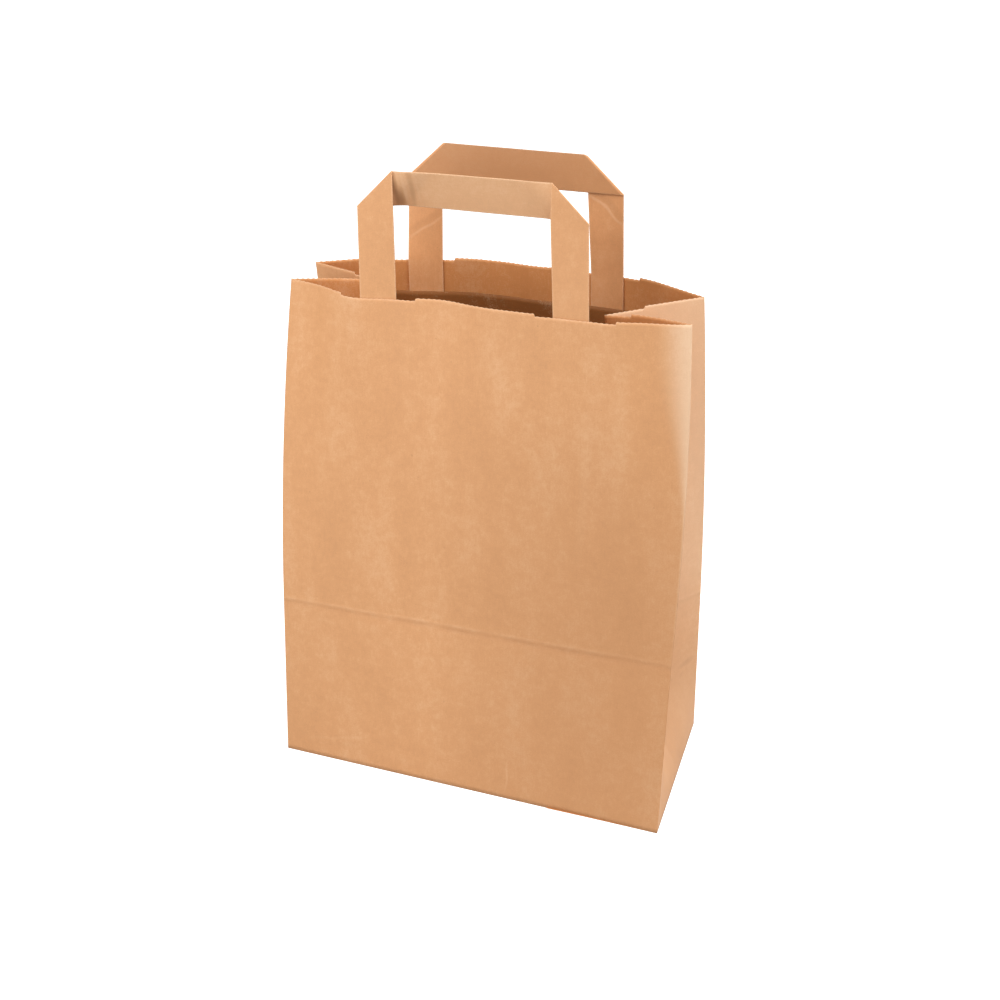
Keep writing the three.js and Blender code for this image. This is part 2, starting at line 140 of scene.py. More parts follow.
def rise_share(z, crease):
    return max(0.0, (z - crease) / (BAG_HEIGHT - crease))


# A corner fold stands in from the full box by two lengths at the bottom, at the crease and at
# the mouth. It bows between the last two, and may swell sideways.
def fold_line(side_x, side_y, bottom, crease_in, mouth, bow, swell=0.0):
    def place(inset):
        return Vector((side_x * (BAG_WIDTH / 2 - inset[0]), side_y * (BAG_DEPTH / 2 - inset[1])))
    low, middle, high = place(bottom), place(crease_in), place(mouth)

    def at(z, crease):
        if z <= crease:
            return low.lerp(middle, z / crease)
        t = rise_share(z, crease)
        swelling = Vector((side_x * swell * 4 * t * (1 - t), 0))
        return middle.lerp(high, t * (1 - bow) + bow * t * t) + swelling
    return at


FRONT_LEFT = fold_line(-1, -1, (0, 0), (1.6, 7.6), (5, 38.7), 0.5)
FRONT_RIGHT = fold_line(1, -1, (-1, -3), (0.6, 19), (3.2, 39.2), -0.6, 2.0)
REAR_RIGHT = fold_line(1, 1, (4, -0.5), (2.5, 9), (6.5, 21.5), 0.8)
REAR_LEFT = fold_line(-1, 1, (1, 0), (2, 7.5), (5, 33), 0.0)


# A panel's bulge, swellings, crease and slow waves are all in its own surface, so that the
# straps and patches glued to it follow it.
def front_bulge(s, z, share):
    taper = 1 - (2 * s / BAG_WIDTH) ** 2
    out = taper * FRONT_BULGE + smooth(0, 0.25, taper) * hills(s, FRONT_SWELLINGS)
    reach = lerp(*SHOULDER_REACH, smooth(*SHOULDER_REACH_GROWS, z))
    t = min(1.0, (BAG_WIDTH / 2 - s) / reach)
    out += lerp(*SHOULDER_RISE, smooth(*SHOULDER_RISE_GROWS, z)) * t * (1 - t) ** 3
    out += smooth(*FRONT_RIDGES_GROW, z) * hills(s, FRONT_RIDGES)
    out += smooth(*FRONT_FURROWS_GROW, z) * hills(s, FRONT_FURROWS)
    out += smooth(*MOUTH_WAVES_GROW, z) * hills(s, FRONT_MOUTH_WAVES)
    return out * share ** BULGE_GROWTH


def rear_bulge(s, z, share):
    taper = 1 - (2 * s / BAG_WIDTH) ** 2
    dent = smooth(*MOUTH_WAVES_GROW, z) * hills(s, REAR_MOUTH_WAVES)
    return (taper * REAR_BULGE + dent) * share ** BULGE_GROWTH


def front_crease(s):
    return lerp(FRONT_CREASE_LEFT, FRONT_CREASE_RIGHT, s / BAG_WIDTH + 0.5)


def slow_wave(s, z, seed):
    edge = smooth(0, 0.35, 1 - abs(2 * s / BAG_WIDTH)) * smooth(0, 30, z)
    broad = noise.noise(Vector((s / BROAD_WAVE_LENGTHS[0], z / BROAD_WAVE_LENGTHS[1], seed)))
    fine = noise.noise(Vector((s / FINE_WAVE_LENGTHS[0], z / FINE_WAVE_LENGTHS[1], seed + 7)))
    return edge * (BROAD_WAVE * broad + FINE_WAVE * fine)


# The pressed crease is a low ridge over a shallower furrow.
def crease_ridge(z, crease):
    return hills(z - crease, CREASE_HILLS)


PANELS = {
    "front": {
        "outward": -1, "left": FRONT_LEFT, "right": FRONT_RIGHT, "bulge": front_bulge, "seed": 3.1,
        "notches": ((-71.5, -32.5), (31.0, 71.5)),
    },
    "rear": {
        "outward": 1, "left": REAR_LEFT, "right": REAR_RIGHT, "bulge": rear_bulge, "seed": 11.7,
        "notches": ((-75.0, -36.0), (27.0, 66.0)),
    },
}


def panel_point(name, s, z, offset=0.0):
    panel = PANELS[name]

    def on(place):
        crease = front_crease(place) if name == "front" else REAR_CREASE
        share = place / BAG_WIDTH + 0.5
        point = panel["left"](z, crease).lerp(panel["right"](z, crease), share)
        out = panel["bulge"](place, z, rise_share(z, crease))
        out += slow_wave(place, z, panel["seed"]) + crease_ridge(z, crease)
        point.y += panel["outward"] * out
        return point
    point = on(s)
    if offset:
        along = (on(s + 0.5) - on(s - 0.5)).normalized()
        point += Vector((-along.y, along.x)) * (-panel["outward"] * offset)
    return Vector((point.x, point.y, z))


# This turns a place across the bag at its mouth into one along the panel.
def sheet_place(name, x):
    panel = PANELS[name]
    left = panel["left"](BAG_HEIGHT, REAR_CREASE).x
    right = panel["right"](BAG_HEIGHT, REAR_CREASE).x
    return BAG_WIDTH * ((x - left) / (right - left) - 0.5)


# Each gusset folds inwards between two panels. Its inner fold lies where its two halves meet,
# and it opens out flat towards the bottom.
GUSSET_WAVE = 0.7
GUSSET_WAVE_GROWS = (20, 60)
GUSSET_RIDGE = 0.1
GUSSET_RIDGE_WIDTH = 1.2
GUSSETS = {
    "right": {"side": 1, "front": FRONT_RIGHT, "rear": REAR_RIGHT, "width": 45.0, "bow": 3.5,
              "creases": (FRONT_CREASE_RIGHT, 94.0, REAR_CREASE)},
    "left": {"side": -1, "front": FRONT_LEFT, "rear": REAR_LEFT, "width": 50.0, "bow": 1.0,
             "creases": (FRONT_CREASE_LEFT, 96.5, REAR_CREASE)},
}


def gusset_fold(gusset, z, crease):
    front = gusset["front"](z, crease)
    rear = gusset["rear"](z, crease)
    bow = gusset["bow"] * rise_share(z, crease)
    reach_front = gusset["width"] - (8 * bow * bow) / (3 * gusset["width"])
    reach_rear = BAG_DEPTH - gusset["width"]
    apart = (rear - front).length
    along = (rear - front) / apart
    inward = Vector((-gusset["side"] * along.y, gusset["side"] * along.x))
    foot = (reach_front ** 2 - reach_rear ** 2 + apart ** 2) / (2 * apart)
    depth = math.sqrt(max(0.0, reach_front ** 2 - foot ** 2)) * smooth(0, GUSSET_FLATTENS_BELOW, z)
    return front + along * foot + inward * depth


def gusset_crease(gusset, half, share):
    front, middle, rear = gusset["creases"]
    return lerp(middle, front if half == "front" else rear, share)


def gusset_point(gusset, half, share, z, crease):
    fold = gusset_fold(gusset, z, crease)
    corner = gusset[half](z, crease)
    across = (corner - fold).normalized()
    backward_normal = Vector((-gusset["side"] * across.y, gusset["side"] * across.x))
    span = 4 * share * (1 - share)
    bow = gusset["bow"] * rise_share(z, crease) * span if half == "front" else 0.0
    wave = noise.noise(Vector((share * 2.2, z / 60, gusset["side"] * 5.3 + (half == "rear"))))
    ridge = GUSSET_RIDGE * hill(z, crease, GUSSET_RIDGE_WIDTH)
    bow += span * (GUSSET_WAVE * wave + ridge) * smooth(*GUSSET_WAVE_GROWS, z)
    point = fold.lerp(corner, share) + backward_normal * bow
    return Vector((point.x, point.y, z))


# Short ways to build node trees: values go straight onto sockets, and nodes join to sockets.
def add(tree, kind, inputs=None, **settings):
    node = tree.nodes.new(kind)
    for key, value in settings.items():
        setattr(node, key, value)
    for key, value in (inputs or {}).items():
        socket = node.inputs[key]
        if isinstance(value, bpy.types.NodeSocket):
            tree.links.new(value, socket)
        else:
            socket.default_value = value
    return node


def math_node(tree, operation, a, b=0.0, clamp=False):
    return add(tree, "ShaderNodeMath", {0: a, 1: b}, operation=operation, use_clamp=clamp).outputs[0]


def mix_colour(tree, factor, a, b):
    node = add(tree, "ShaderNodeMix", data_type="RGBA", clamp_factor=True)
    for socket, value in ((node.inputs[0], factor), (node.inputs[6], a), (node.inputs[7], b)):
        if isinstance(value, bpy.types.NodeSocket):
            tree.links.new(value, socket)
        else:
            socket.default_value = value
    return node.outputs[2]


def remap(tree, value, low, high, to_low=0.0, to_high=1.0):
    return add(tree, "ShaderNodeMapRange", {
        "Value": value, "From Min": low, "From Max": high, "To Min": to_low, "To Max": to_high,
    }).outputs[0]


def new_group(name, sockets):
    group = bpy.data.node_groups.new(name, "ShaderNodeTree")
    for label, kind, direction in sockets:
        group.interface.new_socket(label, in_out=direction, socket_type="NodeSocket" + kind)
    return group, add(group, "NodeGroupInput"), add(group, "NodeGroupOutput")


MARK_WAVERS = 70.0
MARK_SHIFT = 0.004


# One group marks a soft, slightly wavering patch or line on the sheet's map, given its middle,
# its turn, its length and half its width, in metres and radians.
def mark_group():
    group, start, end = new_group("soft_mark", (
        ("Middle", "Vector", "INPUT"), ("Turn", "Float", "INPUT"), ("Length", "Float", "INPUT"),
        ("Width", "Float", "INPUT"), ("Mask", "Float", "OUTPUT")))
    sheet = add(group, "ShaderNodeUVMap", uv_map="sheet").outputs[0]
    waver = add(group, "ShaderNodeTexNoise", {"Vector": sheet, "Scale": MARK_WAVERS, "Detail": 1.0})
    shift = add(group, "ShaderNodeVectorMath", {0: waver.outputs["Color"], 1: (0.5, 0.5, 0.5)},
                operation="SUBTRACT").outputs[0]
    shift = add(group, "ShaderNodeVectorMath", {0: shift, 1: (MARK_SHIFT, MARK_SHIFT, 0.0)},
                operation="MULTIPLY").outputs[0]
    place = add(group, "ShaderNodeVectorMath", {0: sheet, 1: shift}, operation="ADD").outputs[0]
    place = add(group, "ShaderNodeVectorMath", {0: place, 1: start.outputs["Middle"]},
                operation="SUBTRACT").outputs[0]
    turned = add(group, "ShaderNodeVectorRotate", {
        "Vector": place, "Axis": (0, 0, 1), "Angle": start.outputs["Turn"]}).outputs[0]
    split = add(group, "ShaderNodeSeparateXYZ", {0: turned})
    across = math_node(group, "DIVIDE", math_node(group, "ABSOLUTE", split.outputs[0]),
                       start.outputs["Width"])
    along = math_node(group, "DIVIDE", math_node(group, "ABSOLUTE", split.outputs[1]),
                      math_node(group, "MULTIPLY", start.outputs["Length"], 0.5))
    near = math_node(group, "SUBTRACT", 1.0, math_node(group, "MULTIPLY", across, across), True)
    short = math_node(group, "SUBTRACT", 1.0, math_node(group, "MULTIPLY", along, along), True)
    group.links.new(math_node(group, "MULTIPLY", near, short), end.inputs["Mask"])
    return group


# One group gives the paper's colour, roughness and surface from the sheet's own map in metres.
# Fold is the height above the pressed crease, and Rim the distance from the nearest cut edge.
# Sheen mixes in a painted highlight, Light mixes in painted light and Dark painted shade.
LIGHT_FIBRE = (0.95, 0.68, 0.44, 1)
DARK_FIBRE = (0.4, 0.18, 0.07, 1)
SHEEN_COLOUR = (0.93, 0.74, 0.54, 1)
FIBRE_STRENGTH = 1.7
PAPER_ROUGHNESS = 0.55
BUMP_STRENGTH = 0.4
BUMP_HEIGHT = 0.00012


def kraft_group():
    group, start, end = new_group("kraft_paper", (
        ("Base", "Color", "INPUT"), ("Sheen", "Float", "INPUT"), ("Fold", "Float", "INPUT"),
        ("Rim", "Float", "INPUT"), ("Light", "Float", "INPUT"), ("Dark", "Float", "INPUT"),
        ("Colour", "Color", "OUTPUT"), ("Roughness", "Float", "OUTPUT"), ("Normal", "Vector", "OUTPUT")))
    sheet = add(group, "ShaderNodeUVMap", uv_map="sheet").outputs[0]
    tall = add(group, "ShaderNodeMapping", {"Vector": sheet, "Scale": (1.0, 0.3, 1.0)}).outputs[0]
    fine_tall = add(group, "ShaderNodeMapping", {"Vector": sheet, "Scale": (1.0, 0.12, 1.0)}).outputs[0]
    slant = add(group, "ShaderNodeMapping", {
        "Vector": sheet, "Rotation": (0, 0, 0.9), "Scale": (1.0, 0.4, 1.0)}).outputs[0]

    def pattern(vector, size_mm, detail, roughness=0.5):
        return add(group, "ShaderNodeTexNoise", {
            "Vector": vector, "Scale": 1.0 / (size_mm * MM), "Detail": detail, "Roughness": roughness,
        }).outputs["Fac"]

    # Each pattern has the size of its grain in millimetres.
    clouds = pattern(tall, 26.0, 2.0)
    blotches = pattern(sheet, 7.0, 2.0)
    pulp = pattern(sheet, 2.6, 2.0, 0.6)
    fibres = pattern(fine_tall, 0.7, 2.0, 0.6)
    crossing = pattern(slant, 1.5, 2.0, 0.6)
    grain = pattern(sheet, 0.75, 2.0, 0.75)
    specks = pattern(sheet, 1.9, 1.0)

    tone = None
    for source, size in ((clouds, 0.06), (blotches, 0.035), (pulp, 0.03), (crossing, 0.02),
                         (fibres, 0.02), (grain, 0.06)):
        part = remap(group, source, 0.3, 0.7, -size, size)
        tone = part if tone is None else math_node(group, "ADD", tone, part)
    light = math_node(group, "MAXIMUM", tone, 0.0)
    dark = math_node(group, "MAXIMUM", math_node(group, "MULTIPLY", tone, -1.0), 0.0)
    light = math_node(group, "MULTIPLY", light, FIBRE_STRENGTH)
    dark = math_node(group, "MULTIPLY", dark, FIBRE_STRENGTH)
    colour = mix_colour(group, light, start.outputs["Base"], LIGHT_FIBRE)
    colour = mix_colour(group, dark, colour, DARK_FIBRE)
    colour = mix_colour(group, remap(group, specks, 0.74, 0.8, 0.0, 0.25), colour, DARK_FIBRE)

    # The pressed crease fades here and there along its length.
    broken = remap(group, pattern(sheet, 14.0, 3.0), 0.38, 0.62, 0.3, 1.0)

    def ridge(centre, width):
        away = math_node(group, "ABSOLUTE", math_node(group, "SUBTRACT", start.outputs["Fold"], centre))
        return math_node(group, "MULTIPLY", remap(group, away, 0.0, width, 1.0, 0.0), broken)
    # Just below the crease a dark line is painted shade, and just above it a pale line is a painted
    # highlight; both also shape the bump.
    crease_dark = ridge(-0.0012, 0.0022)
    crease_light = ridge(0.0011, 0.0014)
    rim = math_node(group, "MULTIPLY", remap(group, start.outputs["Rim"], 0.0002, 0.0008, 1.0, 0.0),
                    remap(group, grain, 0.35, 0.65, 0.3, 1.0))
    # The pale mix holds painted highlight from the crease and the Light marks, and the paper's own paler
    # cut edge; the deep mix is painted shade.
    pale = math_node(group, "ADD", math_node(group, "MULTIPLY", crease_light, 0.1),
                     math_node(group, "MULTIPLY", rim, 0.3))
    pale = math_node(group, "ADD", pale, math_node(group, "MULTIPLY", start.outputs["Light"], 0.5))
    deep = math_node(group, "ADD", math_node(group, "MULTIPLY", crease_dark, 0.24),
                     math_node(group, "MULTIPLY", start.outputs["Dark"], 0.8))
    colour = mix_colour(group, pale, colour, LIGHT_FIBRE)
    colour = mix_colour(group, deep, colour, DARK_FIBRE)
    colour = mix_colour(group, start.outputs["Sheen"], colour, SHEEN_COLOUR)
    rough = math_node(group, "ADD", PAPER_ROUGHNESS, math_node(group, "MULTIPLY", tone, 0.8))

    height = math_node(group, "ADD", math_node(group, "MULTIPLY", pulp, 0.6),
                       math_node(group, "MULTIPLY", grain, 0.5))
    height = math_node(group, "ADD", height, math_node(group, "MULTIPLY", fibres, 0.3))
    height = math_node(group, "ADD", height, math_node(group, "MULTIPLY", crease_light, 0.5))
    height = math_node(group, "SUBTRACT", height, math_node(group, "MULTIPLY", crease_dark, 1.2))
    height = math_node(group, "ADD", height, math_node(group, "MULTIPLY", start.outputs["Light"], 1.4))
    bump = add(group, "ShaderNodeBump", {
        "Height": height, "Strength": BUMP_STRENGTH, "Distance": BUMP_HEIGHT})
    group.links.new(colour, end.inputs["Colour"])
    group.links.new(rough, end.inputs["Roughness"])
    group.links.new(bump.outputs[0], end.inputs["Normal"])
    return group


KRAFT_GROUP = kraft_group()
MARK_GROUP = mark_group()


# Light marks are mixed in as painted light and dark marks as painted shade; the sheen, where it is on,
# is a painted highlight.
def kraft_material(name, base, gloss=0.5, painted_light_marks=(), painted_shade_marks=(), sheen=False):
    material = bpy.data.materials.new(name)
    material.use_nodes = True
    tree = material.node_tree
    shader = tree.nodes["Principled BSDF"]
    paper = add(tree, "ShaderNodeGroup", node_tree=KRAFT_GROUP)
    paper.inputs["Base"].default_value = (*base, 1)
    if sheen:
        tree.links.new(add(tree, "ShaderNodeAttribute", attribute_name="sheen").outputs["Fac"],
                       paper.inputs["Sheen"])
    for label, attribute in (("Fold", "above_crease"), ("Rim", "from_edge")):
        tree.links.new(add(tree, "ShaderNodeAttribute", attribute_name=attribute).outputs["Fac"],
                       paper.inputs[label])
    for label, marks in (("Light", painted_light_marks), ("Dark", painted_shade_marks)):
        total = None
        for across, along, turn, length, width, strength in marks:
            node = add(tree, "ShaderNodeGroup", node_tree=MARK_GROUP)
            node.inputs["Middle"].default_value = (across * MM, along * MM, 0)
            node.inputs["Turn"].default_value = math.radians(turn)
            node.inputs["Length"].default_value = length * MM
            node.inputs["Width"].default_value = width * MM
            mask = math_node(tree, "MULTIPLY", node.outputs[0], strength)
            total = mask if total is None else math_node(tree, "MAXIMUM", total, mask)
        if total is not None:
            tree.links.new(total, paper.inputs[label])
    tree.links.new(paper.outputs["Colour"], shader.inputs["Base Color"])
    tree.links.new(paper.outputs["Roughness"], shader.inputs["Roughness"])
    tree.links.new(paper.outputs["Normal"], shader.inputs["Normal"])
    shader.inputs["Specular IOR Level"].default_value = gloss
    return material


PAPER_COLOUR = (0.68, 0.34, 0.15)
# The inside is given a darker, deeper colour than the outside: painted shade within the bag.
INSIDE_SHADED_COLOUR = (0.64, 0.27, 0.094)
CUT_COLOUR = (0.7, 0.4, 0.2)
# Each mark gives its place across and along the sheet, its turn in degrees, its length, half
# its width, and its strength. The light marks are painted highlights on the lit sides of small
# creases and streaks. The dark marks are painted shade on their shaded sides and in the right
# gusset's wrinkles; the last two are broad painted shade, darker towards the bottom of the
# front's right side and of the right gusset.
BAG_PAINTED_LIGHT_MARKS = (
    (134, 13, 4, 22, 0.7, 0.3),
    (31, 14, 78, 40, 1.2, 0.12),
    (168, 185, 2, 90, 3.0, 0.1),
)
BAG_PAINTED_SHADE_MARKS = (
    (135.5, 12, 4, 22, 0.7, 0.12),
    (30, 10, 78, 46, 1.6, 0.06),
    (172, 182, 2, 80, 2.4, 0.04),
    (309, 51, 88, 22, 3.4, 0.6),
    (304, 45, 62, 14, 2.6, 0.5),
    (303, 30, 25, 26, 4.2, 0.45),
    (205, 70, 0, 330, 120, 0.5),
    (275, 30, 0, 110, 60, 0.55),
)
bag_paper = kraft_material("bag_paper", PAPER_COLOUR, 0.4, BAG_PAINTED_LIGHT_MARKS, BAG_PAINTED_SHADE_MARKS, sheen=True)
inside_paper = kraft_material("inside_paper", INSIDE_SHADED_COLOUR, gloss=0.2)
cut_paper = kraft_material("cut_paper", CUT_COLOUR)


# A sheet is a created grid whose points are moved to their places, with a map in metres. Its
# points also hold the sheen, the height above the crease and the distance from a cut edge.
POINT_VALUES = ("sheen", "above_crease", "from_edge")


def new_mesh():
    bm = bmesh.new()
    bm.loops.layers.uv.new("sheet")
    for name in POINT_VALUES:
        bm.verts.layers.float.new(name)
    return bm


def add_sheet(bm, columns, rows, place, mapped, values=None):
    made = bmesh.ops.create_grid(bm, x_segments=columns - 1, y_segments=rows - 1, size=1)["verts"]
    uv = bm.loops.layers.uv["sheet"]
    layers = [bm.verts.layers.float[name] for name in POINT_VALUES]
    cell = {vert: (k % columns, k // columns) for k, vert in enumerate(made)}
    for vert, (i, j) in cell.items():
        vert.co = place(i, j) * MM
        for layer, value in zip(layers, values(i, j) if values else (0.0, FAR, FAR)):
            vert[layer] = value
    faces = {face for vert in made for face in vert.link_faces}
    for face in faces:
        face.smooth = True
        for loop in face.loops:
            u, v = mapped(*cell[loop.vert])
            loop[uv].uv = (u * MM, v * MM)
    return list(faces)


# The sheet gets its thickness on its inner side. Where it has three materials, they are its
# outside, its inside and its cut edge.
def finish_piece(bm, name, node, materials, thickness):
    mesh = bpy.data.meshes.new(name)
    bm.to_mesh(mesh)
    bm.free()
    for material in materials:
        mesh.materials.append(material)
    piece = bpy.data.objects.new(name, mesh)
    bpy.context.scene.collection.objects.link(piece)
    shell = piece.modifiers.new("thickness", "SOLIDIFY")
    shell.thickness = thickness * MM
    shell.offset = -1
    if len(materials) > 1:
        shell.material_offset = 1
        shell.material_offset_rim = 2
    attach(piece, "root")
    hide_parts(node)


# The columns of the sheet run round the four sides, with one pair for each tooth of its edge.
# Each has its face, its place there, its crease's height, its step, and its place on the map.
def panel_places(name):
    step = TOOTH_PITCH / 2
    places = {round(-BAG_WIDTH / 2 + step * k, 3) for k in range(int(BAG_WIDTH / step) + 1)}
    places.update((-BAG_WIDTH / 2 + FOLD_STRIP, BAG_WIDTH / 2 - FOLD_STRIP))
    edges = [sheet_place(name, x) for notch in PANELS[name]["notches"] for x in notch]
    places = {p for p in places if all(abs(p - e) > COLUMN_GAP for e in edges)}
    for edge in edges:
        places.update((edge - NOTCH_SLOPE / 2, edge + NOTCH_SLOPE / 2))
    spans = [(edges[0], edges[1]), (edges[2], edges[3])]
    return [(p, any(a < p < b for a, b in spans)) for p in sorted(places)]


def half_places(width, notch):
    step = TOOTH_PITCH / 2
    alongs = {step * k for k in range(1, int((width - COLUMN_GAP) / step) + 1)}
    alongs.add(width - FOLD_STRIP)
    alongs = {a for a in alongs if abs(a - notch) > COLUMN_GAP}
    alongs |= {notch - NOTCH_SLOPE / 2, notch + NOTCH_SLOPE / 2}
    return [(a / width, a < notch) for a in sorted(alongs, reverse=True)]


def sheet_columns():
    columns = []
    run = 0.0
    for s, dropped in panel_places("front"):
        columns.append(("front", s, front_crease(s), dropped, run + s + BAG_WIDTH / 2))
    run += BAG_WIDTH
    for side, name in (("right", "rear"), ("left", None)):
        gusset = GUSSETS[side]
        first, second = ("front", "rear") if side == "right" else ("rear", "front")
        widths = {"front": gusset["width"], "rear": BAG_DEPTH - gusset["width"]}
        for half, order in ((first, 1), (second, -1)):
            width = widths[half]
            for share, dropped in half_places(width, GUSSET_NOTCHES[half])[::order]:
                along = (1 - share) * width if order == 1 else share * width
                crease = gusset_crease(gusset, half, share)
                columns.append(((side, half), share, crease, dropped, run + along))
            run += width
            if order == 1:
                crease = gusset_crease(gusset, half, 0)
                columns.append(((side, first), 0.0, crease, True, run))
                columns.append(((side, second), 0.0, crease, True, run))
        if name:
            for s, dropped in panel_places(name)[::-1]:
                columns.append((name, s, REAR_CREASE, dropped, run + BAG_WIDTH / 2 - s))
            run += BAG_WIDTH
    return columns + [(*columns[0][:4], run)]


COLUMNS = sheet_columns()
# The rows stand closer at the crease and at the mouth. Each is a share of the height there.
LOW_ROWS = [0, 0.03] + [0.08 * k for k in range(1, 12)] + [0.94, 0.97, 0.982, 0.991]
HIGH_ROWS = [0, 0.004, 0.009, 0.015, 0.03]
HIGH_ROWS += [0.03 + 0.95 * (k / 36) for k in range(1, 37)]
HIGH_ROWS += [0.991, 1.0]
ROWS = [("low", t) for t in LOW_ROWS] + [("high", t) for t in HIGH_ROWS]


def tooth(kind, s):
    along = s
    if isinstance(kind, tuple):
        width = GUSSETS[kind[0]]["width"]
        along = s * (width if kind[1] == "front" else BAG_DEPTH - width)
    return 1 - 2 * abs((along / TOOTH_PITCH) % 1 - 0.5)


def top_edge(column):
    kind, s, crease, dropped, run = column
    top = BAG_HEIGHT - (NOTCH_DEPTH if dropped else 0.0) - TOOTH_DEPTH * tooth(kind, s)
    if kind == "rear":
        top += REAR_EDGE_RISE * smooth(0, 0.3, 1 - abs(2 * s / BAG_WIDTH))
    return top


def row_height(column, row):
    part, t = row
    crease = column[2]
    return crease * t if part == "low" else crease + (top_edge(column) - crease) * t


def sheet_point(i, j):
    kind, s, crease, dropped, run = COLUMNS[i]
    z = row_height(COLUMNS[i], ROWS[j])
    if isinstance(kind, tuple):
        return gusset_point(GUSSETS[kind[0]], kind[1], s, z, crease)
    return panel_point(kind, s, z)


# The sheen is a painted highlight: light caught by the paper beside the front's right fold and on that
# gusset, painted into its colour.
SHEEN_REACH = (1.5, 21.0)
SHEEN_REACH_GROWS = (162, 262)
FOLD_SHEEN = 0.45
GUSSET_SHEEN = (0.1, 0.3)


def sheet_values(i, j):
    kind, s, crease, dropped, run = COLUMNS[i]
    z = row_height(COLUMNS[i], ROWS[j])
    sheen = 0.0
    if kind == "front":
        reach = lerp(*SHEEN_REACH, smooth(*SHEEN_REACH_GROWS, z))
        sheen = FOLD_SHEEN * smooth(reach, 0.0, BAG_WIDTH / 2 - s) ** 1.5 * smooth(60, 240, z)
    elif isinstance(kind, tuple) and kind[0] == "right":
        sheen = lerp(*GUSSET_SHEEN, smooth(60, 130, z))
    return sheen, (z - crease) * MM, (top_edge(COLUMNS[i]) - z) * MM


# The bottom is two side flaps under two long ones, which overlap. Each lies on the next.
FLAP_INSET = 0.2
FLAP_STEP = PAPER + 0.02
BOTTOM_MAP = 1.1


def add_flap(bm, corners, height):
    made = bmesh.ops.create_grid(bm, x_segments=1, y_segments=1, size=1)["verts"]
    for vert, k in zip(made, (0, 1, 3, 2)):
        vert.co = Vector((corners[k][0], corners[k][1], height)) * MM
    faces = list({face for vert in made for face in vert.link_faces})
    uv = bm.loops.layers.uv["sheet"]
    for name in POINT_VALUES[1:]:
        for vert in made:
            vert[bm.verts.layers.float[name]] = FAR
    for face in faces:
        for loop in face.loops:
            loop[uv].uv = (loop.vert.co.x + BOTTOM_MAP, loop.vert.co.y)
        if face.normal.z > 0:
            face.normal_flip()


def add_bottom(bm):
    reach = (BAG_DEPTH + BOTTOM_OVERLAP) / 2
    corners = []
    for fold in (FRONT_LEFT, FRONT_RIGHT, REAR_RIGHT, REAR_LEFT):
        spot = fold(0.0, REAR_CREASE)
        corners.append(spot - Vector([math.copysign(FLAP_INSET, value) for value in spot]))
    fl, fr, rr, rl = corners
    add_flap(bm, ((rl[0], rl[1]), (rl[0] + reach, rl[1] - reach),
                  (rr[0] - reach, rr[1] - reach), (rr[0], rr[1])), 0.0)
    add_flap(bm, ((fl[0], fl[1]), (fr[0], fr[1]), (fr[0] - reach, fr[1] + reach),
                  (fl[0] + reach, fl[1] + reach)), FLAP_STEP)
    add_flap(bm, ((fr[0], fr[1]), (rr[0], rr[1]), (rr[0] - reach, rr[1]), (fr[0] - reach, fr[1])),
             2 * FLAP_STEP)
    add_flap(bm, ((fl[0], fl[1]), (fl[0] + reach, fl[1]), (rl[0] + reach, rl[1]), (rl[0], rl[1])),
             2 * FLAP_STEP)


body = new_mesh()
add_sheet(body, len(COLUMNS), len(ROWS), sheet_point,
          lambda i, j: (COLUMNS[i][4], row_height(COLUMNS[i], ROWS[j])), sheet_values)
bmesh.ops.remove_doubles(body, verts=body.verts[:], dist=1e-6)
add_bottom(body)
body.normal_update()
bag_materials = [bag_paper, inside_paper, cut_paper]
finish_piece(body, "bag_sheet", "bag_body", bag_materials, PAPER)


# The handles
# Each is one flat strap of rolled kraft paper. Its two legs are glued inside the panel, and it
# folds over at 45 degrees at each corner, so that the grip runs on the inner side of the legs.
STRAP_WIDTH = 18.8
STRAP = 0.5
STRAP_SHEET = 0.47
LEG_WAVE = 0.2
LEG_WAVE_LENGTHS = (26, 30)
LEG_WAVE_GROWS = (0, 30)
STRAP_COLUMNS = (0, 0.3, 0.8, 2, 4.5, 7, 9.4, 11.8, 14.3, 16.8, 18.0, 18.5, STRAP_WIDTH)
GLUED_STEP = 4
LEG_STEP = 2.4
TOP_STEPS = 6
ROLL_STEPS = 8
GRIP_STEPS = 84
RIGHT_LEG_MAP = 60
GRIP_MAP = 200
HANDLE_WIDTH = 117.0
GLUED_LENGTH = 52.0
LEG_LENGTH = 44.0
GLUE_GAP = 0.3
CORNER_REACH = 23.0
HANDLES = {
    "front": {"x": -2.4, "rise": 63.2, "stands_in": (0, 2.9), "root_shift": (0, 2.3), "lean": 1.7,
              "swing": (11.0, 5.0), "top_swing": 3.0, "fold_slant": (1, 1), "seed": 21.3},
    "rear": {"x": -2.0, "rise": 62.0, "stands_in": (0, 6.2), "root_shift": (0, 1.2), "lean": 5.0,
             "swing": (0.6, 0.6), "top_swing": 0.0, "fold_slant": (1.075, 1.12), "seed": 37.9},
}

FRONT_STRAP_COLOUR = (0.7, 0.347, 0.15)
# The front strap's marks are painted light and shade: broad painted light over the grip, and at the
# grip's left end pale lit strips beside painted shadow in the pocket behind the leg and along a soft
# crease; the last is broad painted shade on the right leg.
FRONT_STRAP_PAINTED_LIGHT_MARKS = (
    (209.4, 66, 0, 190, 60, 0.4),
    (209.4, 22.4, 90, 28, 1.8, 0.6),
    (209.4, 29.6, 90, 30, 1.6, 0.5),
)
FRONT_STRAP_PAINTED_SHADE_MARKS = (
    (209.4, 18.2, 90, 34, 1.5, 0.8),
    (204.5, 19.6, 90, 15, 2.3, 0.7),
    (209.4, 26.4, 87, 34, 1.8, 0.4),
    (69.4, 25, 0, 110, 40, 0.16),
)
